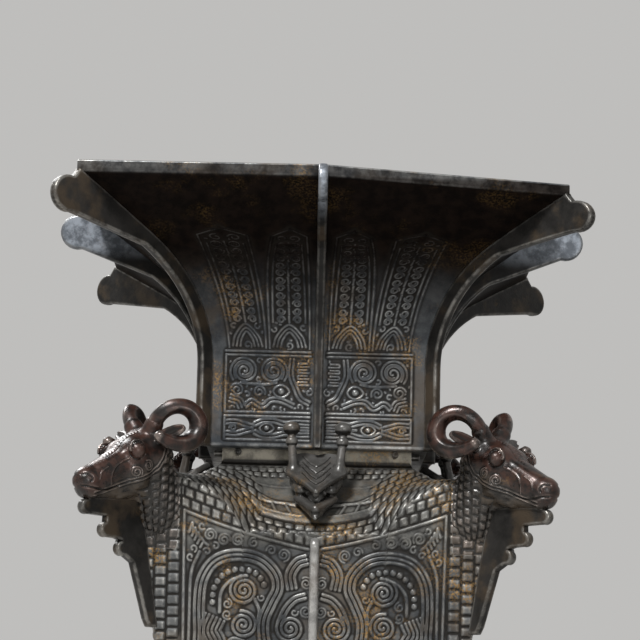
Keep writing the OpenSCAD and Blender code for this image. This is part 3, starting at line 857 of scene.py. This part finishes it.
def belly_relief(x, z):
    """The belly's ornament: an arched dragon with coils, feathers and scrolls, under bands of scales."""
    relief = Relief(x, z)
    broad = {"width": 3.5, "rise": 1.25}
    plume = {"width": 3.1, "rise": 1.15}
    panel_x = corner_scales_x - 5
    edge_x = np.linspace(6, corner_scales_x - 3, 40)
    relief.line(np.concatenate([stacked(edge_x, band_edge(edge_x) - 3), [(panel_x, 88)]]), 2.6, 1.0)
    relief.line(curve((131, 84), (131, 130), (130, 172), (122, 194)), 3.0, 1.1)
    arch = curve((121, 84), (120, 110), (121, 140), (118, 166), (105, 185), (82, 192), (58, 188), (42, 174),
                 (38, 158), (45, 142), (52, 124), (51, 104), (44, 86))
    relief.parallel(arch, 3, 4.7, **broad)
    relief.studs(curve((107, 138), (105, 158), (94, 172), (77, 177), (60, 172), (52, 160)), 7.6, 3.3, 1.5)
    relief.line(curve((99, 132), (98, 152), (89, 164), (77, 169)), **broad)
    relief.line(curve((62, 146), (57, 134), (59, 122)), **broad)
    for coil in ((74, 155, 15.5, 2.9, 100, -1), (74, 119, 14.5, 2.7, 80, 1), (24, 116, 15, 2.8, 60, -1)):
        relief.line(spiral(*coil), 3.2, 1.25)
    relief.line(spiral(20, 90, 8, 1.7, 0, 1), 2.8, 1.2)
    relief.parallel(curve((104, 126), (109, 112), (103, 98), (106, 82)), 6, 4.3, **plume)
    relief.parallel(curve((74, 98), (84, 100), (88, 92), (84, 83)), 3, 4.3, **plume)
    relief.parallel(curve((9, 150), (20, 146), (29, 136), (35, 122)), 2, 4.6, **broad)
    relief.parallel(curve((8, 188), (18, 184), (25, 172), (23, 158)), 3, 4.5, **broad)
    for k in range(5):
        claw = [(113 + 4 * k, 201 + 3 * k), (118 + 3 * k, 205 + 5 * k), (121 + 3 * k, 199 + 4 * k)]
        relief.line(rounded(claw), 2.6, 1.0)
    relief.fill_gaps((8, 80), (panel_x, 236), (7, 5.4, 4.2), lambda cx, cy: cy < band_edge(cx) - 6, 3)
    above = relief.y - band_edge(relief.x)
    beside = relief.x - corner_scales_x
    on_band = tiles(relief.x * 1.04, above, scale_size, scale_size) * ramp(above, 0.8) * ramp(-beside, 0.8)
    on_corner = tiles(relief.y, beside, scale_size, 1.2 * scale_size) * ramp(beside, 0.8)
    return np.maximum(relief.height, np.maximum(on_band, on_corner * ramp(relief.y - 84, 3)))


def shoulder_relief(x, out):
    """The raised panel has two rows of cushions, a ridge and a wing; rows of scales lie round it."""
    relief = Relief(x, out * DIAGONAL)
    down_slope = (1, DIAGONAL)
    first = 109 * DIAGONAL
    cushions = tiles(relief.x, relief.y - first, 9, 8.5, 1.3, 2.8)
    cushions *= ramp(relief.y - first, 0.8) * ramp(first + 17 - relief.y, 0.8)
    relief.line(curve((14, 133), (60, 131), (100, 127)) * down_slope, 2.0, 0.5)
    relief.line(curve((14, 154), (60, 148.5), (104, 140)) * down_slope, 3.2, 1.2)
    for r in (156, 167):
        relief.line(arc((0, 0), r, 85, 50, 29) * down_slope, 2.2, 0.8)
    for degrees in range(9, 40, 6):
        a = math.radians(degrees)
        bar = [(r * math.sin(a + shift), r * math.cos(a + shift)) for r, shift in ((157, 0.05), (166, 0))]
        relief.line(np.array(bar) * down_slope, 2.0, 0.8)
    radius = np.hypot(x, out)
    over_roof = shoulder_top(x, out) - shoulder_z - belly_half + out - panel_rise
    on_back = np.maximum(ramp(over_roof - 1, 2), ramp(radius - panel_r - 1, 1.5))
    on_panel = ramp(panel_r - 3.5 - radius, 2) * (1 - on_back)
    scales = tiles(relief.x * 1.04, (radius - panel_r) * 1.3 + 2, scale_size, scale_size)
    return np.maximum(np.maximum(relief.height, cushions) * on_panel, scales * on_back)


def build_body():
    """The whole body, before the rams' seats are cut out of its corners."""
    across = steps_across(belly_half)
    at_corner = ramp((1 - np.abs(across)) * belly_half, 3)
    top_z = shoulder_top(across * belly_half, belly_half)
    t = np.linspace(0, 1, wall_rows)[:, None]
    wall_z = foot_h + 0.3 + (top_z - 0.4 - foot_h - 0.3) * t
    wall_half = belly_line(wall_z)
    wall = stacked(across * wall_half, -wall_half, wall_z)
    out = np.linspace(belly_half - 0.4, collar_half + 0.3, roof_rows)[:, None]
    roof = stacked(across * out, -out, shoulder_top(across * out, out))
    sides = np.concatenate([wall, roof])
    heights = np.concatenate([belly_relief(across * wall_half, wall_z), shoulder_relief(across * out, out)])
    lean = np.concatenate([wall * 0 + (0, -1, 0), roof * 0 + (0, -0.6, 0.75)])
    near = slice(len(wall) - edge_rows, len(wall) + edge_rows)
    for _ in range(edge_rounds):
        for rows in (sides, lean):
            rows[near] = (np.roll(rows, 1, 0) + 2 * rows + np.roll(rows, -1, 0))[near] / 4
    sides += lean * (heights * at_corner)[..., None]
    under = rounded([(6, foot_h), (spigot_half - spigot_wall, foot_h), (spigot_half - spigot_wall, spigot_z),
                     (spigot_half, spigot_z), (spigot_half, foot_h), (belly_base_half, foot_h)], 0.8)
    inner_z = np.linspace(shoulder_z - shoulder_wall + belly_wall, floor_z + 1, 24)
    inner_wall = stacked(belly_line(inner_z) - belly_wall, inner_z)
    inner_half = collar_half - collar_wall
    collar = stacked(collar_half, np.linspace(collar_z + panel_rise + 1.5, collar_top - 2, 18))
    neck_hole = rounded([collar[-1], (collar_half, collar_top), (inner_half, collar_top),
                         (inner_half, collar_z - shoulder_wall + collar_wall), inner_wall[0]], 1.2)
    floor = [(belly_line(floor_z) - belly_wall - 2, floor_z), (6, floor_z)]
    cavity = plain_face(np.concatenate([collar[:-1], neck_hole, inner_wall[1:], floor]), across)
    reach = np.hypot(cavity[..., 0], cavity[..., 1])
    cavity[..., :2] *= np.minimum(1, core_r / reach)[..., None]
    points = all_round(np.concatenate([plain_face(under, across), sides, cavity]))
    return mesh_object("body_shell", *tube(points, (0, 0, foot_h), (0, 0, floor_z)))


# Foot

def foot_relief(x, z):
    """Dragons below, linked scrolls above."""
    relief = Relief(x, z)
    dragon_band(relief, 17, 43, 10, 122)
    relief.border(10, 116, 47, 71)
    relief.line([(116, 47), (116, 71)], 2.2, 1.5)
    for k in range(5):
        hand = -1 if k % 2 else 1
        relief.parallel(spiral(21 + 21 * k, 59, 9.5, 1.4, 180, hand, 3.5), 2, 3.6, width=2.0, rise=1.4)
    relief.fill_gaps((11, 18), (120, 70), (4.2, 3.2), lambda cx, cy: cy < 42 or 48 < cy < 70, 5)
    return relief.height


def build_foot():
    across = steps_across(foot_low_half)
    z = np.linspace(foot_band_h + 1, foot_h - 1, int(62 / grain))[:, None]
    half = foot_line(z)
    height = foot_relief(across * half, z) * ramp((1 - np.abs(across)) * half, 4)
    wall = stacked(across * half, -half - height, z)
    rest = rounded([(foot_top_half, foot_h), (foot_socket_half, foot_h),
                    (foot_socket_half, foot_h - foot_socket_h), (foot_low_half - foot_wall, 0),
                    (foot_band_half, 0), (foot_band_half, foot_band_h), (foot_low_half, foot_band_h)], 1.6)
    points = all_round(np.concatenate([wall, plain_face(rest, across)]))
    dress(mesh_object("foot_shell", *closed_ring(points)), "foot_ring", dark_bronze)


# Flanges

flange_t = 10
flange_root = 3
flange_edge_r = 2.4
belly_edge_r = 4.6
neck_flange_out = 14
belly_flange_out = 11
foot_flange_out = 9
paddle_r = 20
hook_r = 8


def neck_flange_outline(stretch, reach, drop):
    """Follows the neck, stretched for a corner, and ends in a round paddle past the lip."""
    along = np.concatenate([[0], np.linspace(neck_h, neck_h + flare_arc, 15), [flare_end]])
    half, z, slope = neck_line(along)
    normal = unit(stacked(np.cos(slope), -stretch * np.sin(slope)))
    line = stacked(half * stretch, z)
    paddle = (mouth_half * stretch + reach, lip_z - drop)
    outer = (line + neck_flange_out * normal)[-2::-1]
    return np.concatenate([line - flange_root * normal, [(mouth_half * stretch, lip_z)],
                           arc(paddle, paddle_r, 105, -105), outer])


def strip_outline(half_at, low, high, stretch, out):
    """Follows a stretch of an outline, with a round top."""
    z = np.linspace(low, high, 15)
    half = half_at(z) * stretch
    top = (half[-1], high - out)
    outer = stacked(half + out, z)[-3::-1]
    return np.concatenate([stacked(half - flange_root, z), arc(top, out, 90, 0, 6), outer])


def chest_flange_outline():
    """From the ram's chin down two hooks to the corner of the belly."""
    foot_end = foot_h + 38
    chin = muzzle[2] - 16
    lower = (muzzle[0] - 49, chin - 48)
    upper = (muzzle[0] - 26, chin - 30)
    throat = (muzzle[0] + 1, chin - hook_r)
    waist_z = lower[1] - 14
    belly_u, waist_u = belly_line(np.array([foot_end, waist_z])) * DIAGONAL
    return np.concatenate([
        [(belly_u - flange_root, foot_end), (waist_u - flange_root, waist_z),
         (belly_half * DIAGONAL - flange_root, shoulder_z), (268, 248), (muzzle[0], chin + flange_root)],
        arc(throat, hook_r, 90, -110), [(throat[0] - 26, throat[1] - hook_r)],
        arc(upper, hook_r, 80, -110), [(upper[0] - 14, upper[1] - hook_r)],
        arc(lower, hook_r, 80, -110),
        [(waist_u + 21, waist_z), (belly_u + 14, foot_end + hook_r), (belly_u + 9, foot_end)]])


def flange_mesh(outline, edge_r, step=1.1):
    """Points and faces of a plate with round edges."""
    def field(p):
        return round_edged(outline_distance(p[..., 0], p[..., 2], outline),
                           np.abs(p[..., 1]) - flange_t / 2, edge_r)

    margin = 2.5
    low_u, low_z = outline.min(0) - margin
    high_u, high_z = outline.max(0) + margin
    side = flange_t / 2 + margin
    return surface_net(field, (low_u, -side, low_z), (high_u, side, high_z), step)


def build_flanges():
    on_belly = strip_outline(belly_line, foot_h + 9, shoulder_z - 4, 1, belly_flange_out)
    on_foot, on_foot_corner = (strip_outline(foot_line, 10, foot_h - 4, stretch, foot_flange_out)
                               for stretch in (1, DIAGONAL))
    for name, places, outline, material, shape in (
            ("neck_flange_{}", SIDES, neck_flange_outline(1, 23, 13), paddle_bronze, sagged),
            ("neck_flange_{}", CORNERS, neck_flange_outline(DIAGONAL, 12, 27), worn_bronze, sagged),
            ("belly_flange_{}", SIDES, on_belly, polished_bronze, None),
            ("foot_flange_{}", SIDES, on_foot, worn_bronze, None),
            ("foot_flange_{}", CORNERS, on_foot_corner, worn_bronze, None),
            ("chest_flange_{}", CORNERS, chest_flange_outline(), worn_bronze, None)):
        edge_r = belly_edge_r if outline is on_belly else flange_edge_r
        place_four(name, places, flange_mesh(outline, edge_r), material, shape)


# Rams, along +X, as (outward along the diagonal, sideways, up)

skull = np.array([261.9, 0, 298.0])
muzzle = np.array([336.9, 0, 258.0])
eye_place = np.array([291, 24.5, 295.5])
eye_r = 8.8
chest_inset = 4
curl_centre = np.array([247.4, 44, 325.0])
curl_r = 21.5
horn_r = 10
horn_tip_r = 5.5
horn_splay = math.radians(15)
curl_forward = np.array([math.cos(horn_splay), -math.sin(horn_splay), 0])
curl_outward = np.array([math.sin(horn_splay), math.cos(horn_splay), 0])
cheek_line = np.array([(252, 306), (256, 292), (262, 281), (273, 272), (286, 266), (300, 261), (312, 256),
                       (324, 251), (336, 247)], float)


def horn_point(t):
    """The horn's path: out of the skull, round in a ring, and forward again to a tip beside the eye."""
    t = np.asarray(t, float)[..., None]
    a = np.radians(6 + 318 * t)
    r = curl_r - 1.5 * ramp(2 * t - 0.8)
    side = 6 * t ** 4 - 22 * np.abs(1 - t) ** 4
    reach = r * np.cos(a) + 17 * t ** 6
    return curl_centre + curl_forward * reach + np.array([0, 0, 1]) * r * np.sin(a) + curl_outward * side


def leaf_field(p, root, tip, face, width, thickness):
    """A flat pointed leaf from its root to its tip, hollowed along its middle on the side of its face."""
    root = np.array(root, float)
    length = np.linalg.norm(tip - root)
    along = (tip - root) / length
    flat = unit(np.array(face, float) - along * (along @ face))
    t = ((p - root) @ along) / length
    half = 2 * width * np.sqrt(np.clip(t * (1.02 - t), 0, 1)) + 0.3
    w = (p - root) @ np.cross(flat, along)
    n = (p - root) @ flat
    hollow = 0.55 * thickness * ramp(1 - np.abs(w) / (0.8 * half))
    shape = (np.sqrt((w / half) ** 2 + (n / thickness) ** 2) - 1) * thickness
    ends = np.maximum(-t, t - 1) * length
    return np.maximum(np.maximum(shape, n - thickness + 1.2 * hollow), ends)


def ram_field(p):
    """Neck, head, eyes, ears and horn bosses of one ram."""
    q = one_half(p)
    u, v, z = np.moveaxis(q, -1, 0)
    back = np.hypot(v, z - shoulder_z - back_rise + back_r) - back_r
    chest = np.maximum((u + v) / DIAGONAL - belly_half, back) + chest_inset
    neck = joined(round_cone(q, (240, 0, 238), (259, 0, 290), 27, 27), chest, 12)
    cranium = round_cone(q, (256, 0, 299), (276, 0, 291), 26, 25)
    snout = round_cone(q, (276, 0, 288), (335, 0, 261), 22, 15.5)
    jaw = round_cone(q, (268, 0, 264), (331, 0, 251), 18, 9.5)
    cheek = ball(q, (282, 12, 273), 14.5)
    brow = ball(q, (287, 14, 294), 13)
    nose_edge = round_cone(q, (270, 14, 309), (328, 9, 273), 4.4, 3)
    nose = ball(q, (340, 0, 261), 12)
    lip = ball(q, (338, 4, 251), 7)
    root = horn_point(0)
    heading = unit(horn_point(0.01) - horn_point(-0.01))
    horn_boss = round_cone(q, root - 20 * heading, root - 0.5 * heading, 12, 10)
    field = joined(joined(neck, cranium, 8), joined(snout, jaw, 7), 7)
    field = joined_all(field, (cheek, 8), (brow, 7), (nose_edge, 6), (nose, 6), (lip, 6), (horn_boss, 5))
    field = carved(field, ball(q, eye_place + (0.5, 4, 0), eye_r + 1.4), 1.6)
    around = q - eye_place - np.array([1, 1.5, 1])
    lid = np.hypot(np.hypot(around[..., 0], around[..., 2]) - eye_r - 0.9, around[..., 1]) - 1.5
    field = joined(field, np.maximum(lid, -around[..., 2] - 3), 1.2)
    field = np.minimum(field, ball(q, eye_place, eye_r))
    field = joined(field, leaf_field(q, (265, 18, 309), (252, 54, 322), (0.55, 0.7, 0.4), 8, 3.6), 2)
    return np.maximum(np.maximum(field, seat_u - u), seat_z - z)


def ram_relief(points, normals):
    """Heights of the ram's ornament: spirals on the cheek, scales on the neck, a hatched nose, cut folds."""
    u, v, z = points[:, 0], np.abs(points[:, 1]), points[:, 2]
    aside = np.abs(normals[:, 1])
    cheek = Relief(u, z)
    cheek.line(spiral(276, 281, 6, 1.9, 60, 1), 1.7, 1.0)
    cheek.line(spiral(290, 273, 6, 1.8, 200, -1), 1.7, 1.0)
    cheek.parallel(cheek_line, 2, 3.6, width=1.7, rise=1.1)
    cheek.line(curve((298, 287), (312, 278), (318, 268), (316, 258)), 1.6, 0.7)
    cheek.line(curve((322, 276), (330, 270), (333, 262)), 1.6, 0.7)
    folds = Relief(u, z)
    folds.cut(curve((350, 266), (346, 266.5), (341.5, 263), (342.5, 259)), 1.8, 1.5, 0.9)
    folds.cut(curve((354, 254.5), (345, 253.5), (326, 252), (306, 257)), 1.8, 1.5, 0.9)
    side = ramp(aside - 0.25, 0.25)
    forward = (points - skull) @ unit(muzzle - skull)
    hatch = 0.5 + 0.5 * np.cos(2 * math.pi * (forward - 0.6 * v) / 4.2)
    ridge = ramp(7.5 - v, 1.2) * ramp(forward + 2, 4) * ramp(56 - forward, 6) * (0.1 + 0.4 * hatch)
    on_top = (aside < 0.45) & (normals[:, 2] > 0)
    below = ramp(np.interp(u, *cheek_line.T) - 3 - z, 2) * ramp(304 - u, 8) * ramp(308 - z, 4)
    scales = tiles(z + 0.3 * u, np.arctan2(v, u - 238) * 34, 9.5, 10.5) * below
    raised = np.maximum(cheek.height * side, np.where(on_top, ridge, 0))
    return np.maximum(raised, scales) + folds.height * side


def build_rams(body):
    """Each ram: its corner of the body, cut out at the seat, with its neck and head."""
    rough = surface_net(ram_field, (seat_u - 3, -66, seat_z - 3), (362, 66, 342), 1.5)
    points, quads = finer(*rough, ram_relief)
    box = np.array([(u, v, z) for u in (seat_u, 400) for v in (-150, 150) for z in (seat_z, 420)], float)
    box_faces = np.array([(0, 1, 3, 2), (4, 6, 7, 5), (0, 4, 5, 1), (2, 3, 7, 6), (0, 2, 6, 4), (1, 5, 7, 3)])
    for i, place in enumerate(CORNERS):
        pocket = mesh_object("pocket", turned(box, 90 * i - 45), box_faces)
        chest = cut_by(body, pocket, "INTERSECT")
        rest = cut_by(body, pocket, "DIFFERENCE")
        head = mesh_object("head", turned(points, 90 * i - 45), quads)
        ram = cut_by(chest, head, "UNION")
        ram.name = f"ram_{place}_cast"
        for old in (pocket, chest, head, body):
            discard(old)
        body = rest
        dress(ram, f"ram_{place}", red_bronze)
    body.name = "body_shell"
    dress(body, "body", dark_bronze)


def build_horns():
    """Curled horns with a four-edged section: a ridge runs along the outer face, between two facets."""
    t = np.linspace(-0.02, 1, 170)
    path = horn_point(t)
    heading = unit(np.gradient(path, axis=0))
    outward = unit(curl_outward - heading * (heading @ curl_outward)[:, None])
    inward = np.cross(outward, heading)
    around = np.radians(np.arange(0, 360, 5))
    shape = 1.06 / (np.abs(np.cos(around)) ** 1.6 + np.abs(np.sin(around)) ** 1.6) ** (1 / 1.6)
    thickness = (0.85 * horn_r, 0.8 * horn_r, horn_r, 0.9 * horn_r, horn_tip_r)
    radius = np.interp(t, (0, 0.26, 0.55, 0.8, 1), thickness)
    radius[-4:] *= (0.95, 0.82, 0.6, 0.25)
    turn = (around + math.radians(20))[:, None]
    ring = inward[:, None] * np.cos(turn) + outward[:, None] * np.sin(turn)
    rings = path[:, None] + ring * (radius[:, None] * shape)[..., None]
    points, quads, ends = tube(rings, path[0], path[-1])
    for hand, flip in (("a", 1), ("b", -1)):
        horn = (points * (1, flip, 1), quads, ends)
        place_four("horn_{}_" + hand, CORNERS, horn, red_bronze)


# Beast heads, along +X, as (outward, sideways, up)

shield_top = np.array([121, 0, 310.5])
shield_tip = np.array([191, 0, 263.5])
shield_half = np.array([(0, 12), (3, 23), (20, 30), (40, 33.5), (46, 32), (85, 1.5)], float)


def shield_field(q):
    """A thick plate, pointed at its lower end, with a shallow gutter down its middle."""
    run = unit(shield_tip - shield_top)
    along = (q - shield_top) @ run
    above = (q - shield_top) @ np.array([-run[2], 0, run[0]]) + 2.5 * ramp(1 - q[..., 1] / 15)
    outline = np.concatenate([shield_half, shield_half[::-1] * (1, -1)])
    return round_edged(outline_distance(along, q[..., 1], outline), np.abs(above + 4) - 4, 3.2)


def beast_field(p):
    """A shield of a face that ends in a pointed lip, an open mouth, a keeled jaw and two bottle horns."""
    q = one_half(p)
    core = joined(round_cone(q, (138, 0, 276), (164, 0, 254), 20, 10),
                  round_cone(q, (145, 18, 275), (162, 16, 264), 11, 7), 4)
    jaw = joined(round_cone(q, (160, 19, 255), (186, 0, 241), 5, 5.5),
                 round_cone(q, (164, 11, 247), (189, 0, 231.5), 5, 2.2), 4)
    tooth = ball(q, (184, 0, 256), 3)
    horn = round_cone(q, (152, 24.5, 286), (147, 27.2, 313), 5.4, 4.3)
    horn_neck = round_cone(q, (147, 27.2, 313), (146, 28, 333), 4.3, 4.3)
    horn_ring = knob(q, (146.8, 27.4, 318), 6.8, 6.2)
    horn_top = knob(q, (146, 28, 332.6), 9.5, 7.6)
    field = joined_all(shield_field(q), (core, 3), (jaw, 2), (tooth, 2), (horn, 4), (horn_neck, 1),
                       (horn_ring, 1), (horn_top, 1))
    return np.maximum(field, shoulder_z + belly_half + panel_rise - 1.5 - q[..., 0] - q[..., 2])


def beast_relief(points, normals):
    """Chevrons on the forehead."""
    face = Relief(points[:, 1], points[:, 2])
    for k in range(4):
        face.cut([(0, 269 + 7 * k), (7, 274 + 7 * k), (15, 283 + 7 * k)], 1.2, 0.9)
    return face.height * ramp(normals[:, 2] - 0.35, 0.2) * ramp(17 - face.x, 2)


def build_beasts():
    head = finer(*surface_net(beast_field, (110, -44, 220), (210, 44, 348), 1.2), beast_relief)
    place_four("beast_head_{}", SIDES, head, bright_bronze)


# Rest pins

pin_r = 3.5
pin_start = 99
pin_aside = 86
pin_drop = 3.7


def build_pins():
    """Short round pins with domed ends, in the collar under the neck."""
    profile = rounded([(0.2, pin_start), (pin_r, pin_start), (pin_r, 113.5), (0.2, 114.2)], 1.5, 5)
    a = np.radians(np.arange(0, 360, 15))
    radius, out = profile[:, :1], profile[:, 1:]
    rings = stacked(out, radius * np.cos(a), radius * np.sin(a))
    points, quads, ends = tube(rings, (pin_start, 0, 0), (114.3, 0, 0))
    for hand, aside in (("a", pin_aside), ("b", -pin_aside)):
        pin = (points + (0, aside, neck_z - pin_drop), quads, ends)
        place_four("rest_pin_{}_" + hand, SIDES, pin, worn_bronze)


build_neck()
build_foot()
build_rams(build_body())
build_horns()
build_beasts()
build_flanges()
build_pins()


# Stage

def soft_light(name, place, size, power):
    """A square lamp that faces the middle of the vessel."""
    lamp = bpy.data.lights.new(name, "AREA")
    lamp.size = size
    lamp.energy = power
    obj = linked(name, lamp)
    obj.location = place
    obj.rotation_euler = (Vector((0, 0, 0.32)) - Vector(place)).to_track_quat("-Z", "Y").to_euler()


def make_floor():
    pale = bpy.data.materials.new("pale_floor")
    pale.use_nodes = True
    shader = pale.node_tree.nodes["Principled BSDF"].inputs
    shader["Base Color"].default_value = (0.62, 0.61, 0.59, 1)
    shader["Roughness"].default_value = 0.9
    mesh = bpy.data.meshes.new("floor")
    mesh.from_pydata([(-9, -9, 0), (9, -9, 0), (9, 9, 0), (-9, 9, 0)], [], [(0, 1, 2, 3)])
    mesh.materials.append(pale)
    linked("floor", mesh)


def make_world():
    """A dim room that looks pale to the camera and in reflections."""
    world = bpy.data.worlds.new("studio")
    bpy.context.scene.world = world
    world.use_nodes = True
    tree = world.node_tree
    path = tree.nodes.new("ShaderNodeLightPath").outputs
    seen = combined("MAXIMUM", path["Is Camera Ray"], path["Is Glossy Ray"])
    seen = combined("MAXIMUM", seen, path["Is Transmission Ray"])
    level = node("MapRange", {"Value": seen, 3: 0.1, 4: 0.52})["Result"]
    background = tree.nodes["Background"].inputs
    background["Color"].default_value = (1.0, 0.99, 0.97, 1)
    tree.links.new(level, background["Strength"])


def make_camera():
    """The photograph's view: close to the floor, tilted up, with a slight roll."""
    camera = bpy.data.cameras.new("camera")
    camera.sensor_width = 36
    camera.lens = 134.2
    obj = linked("camera", camera)
    obj.location = (0, -2.713, 0.0026)
    tilt = Matrix.Rotation(math.radians(90 + 9.94), 4, "X")
    roll = Matrix.Rotation(math.radians(1.35), 4, "Z")
    obj.rotation_euler = (tilt @ roll).to_euler()
    bpy.context.scene.camera = obj


bpy.context.scene.view_settings.view_transform = "Standard"
make_floor()
make_world()
soft_light("key", (-0.85, -1.8, 2.6), 0.55, 106)
soft_light("fill", (0.5, -2.8, 0.5), 0.8, 14)
soft_light("back", (-1.4, 1.5, 2.2), 1.0, 45)
make_camera()
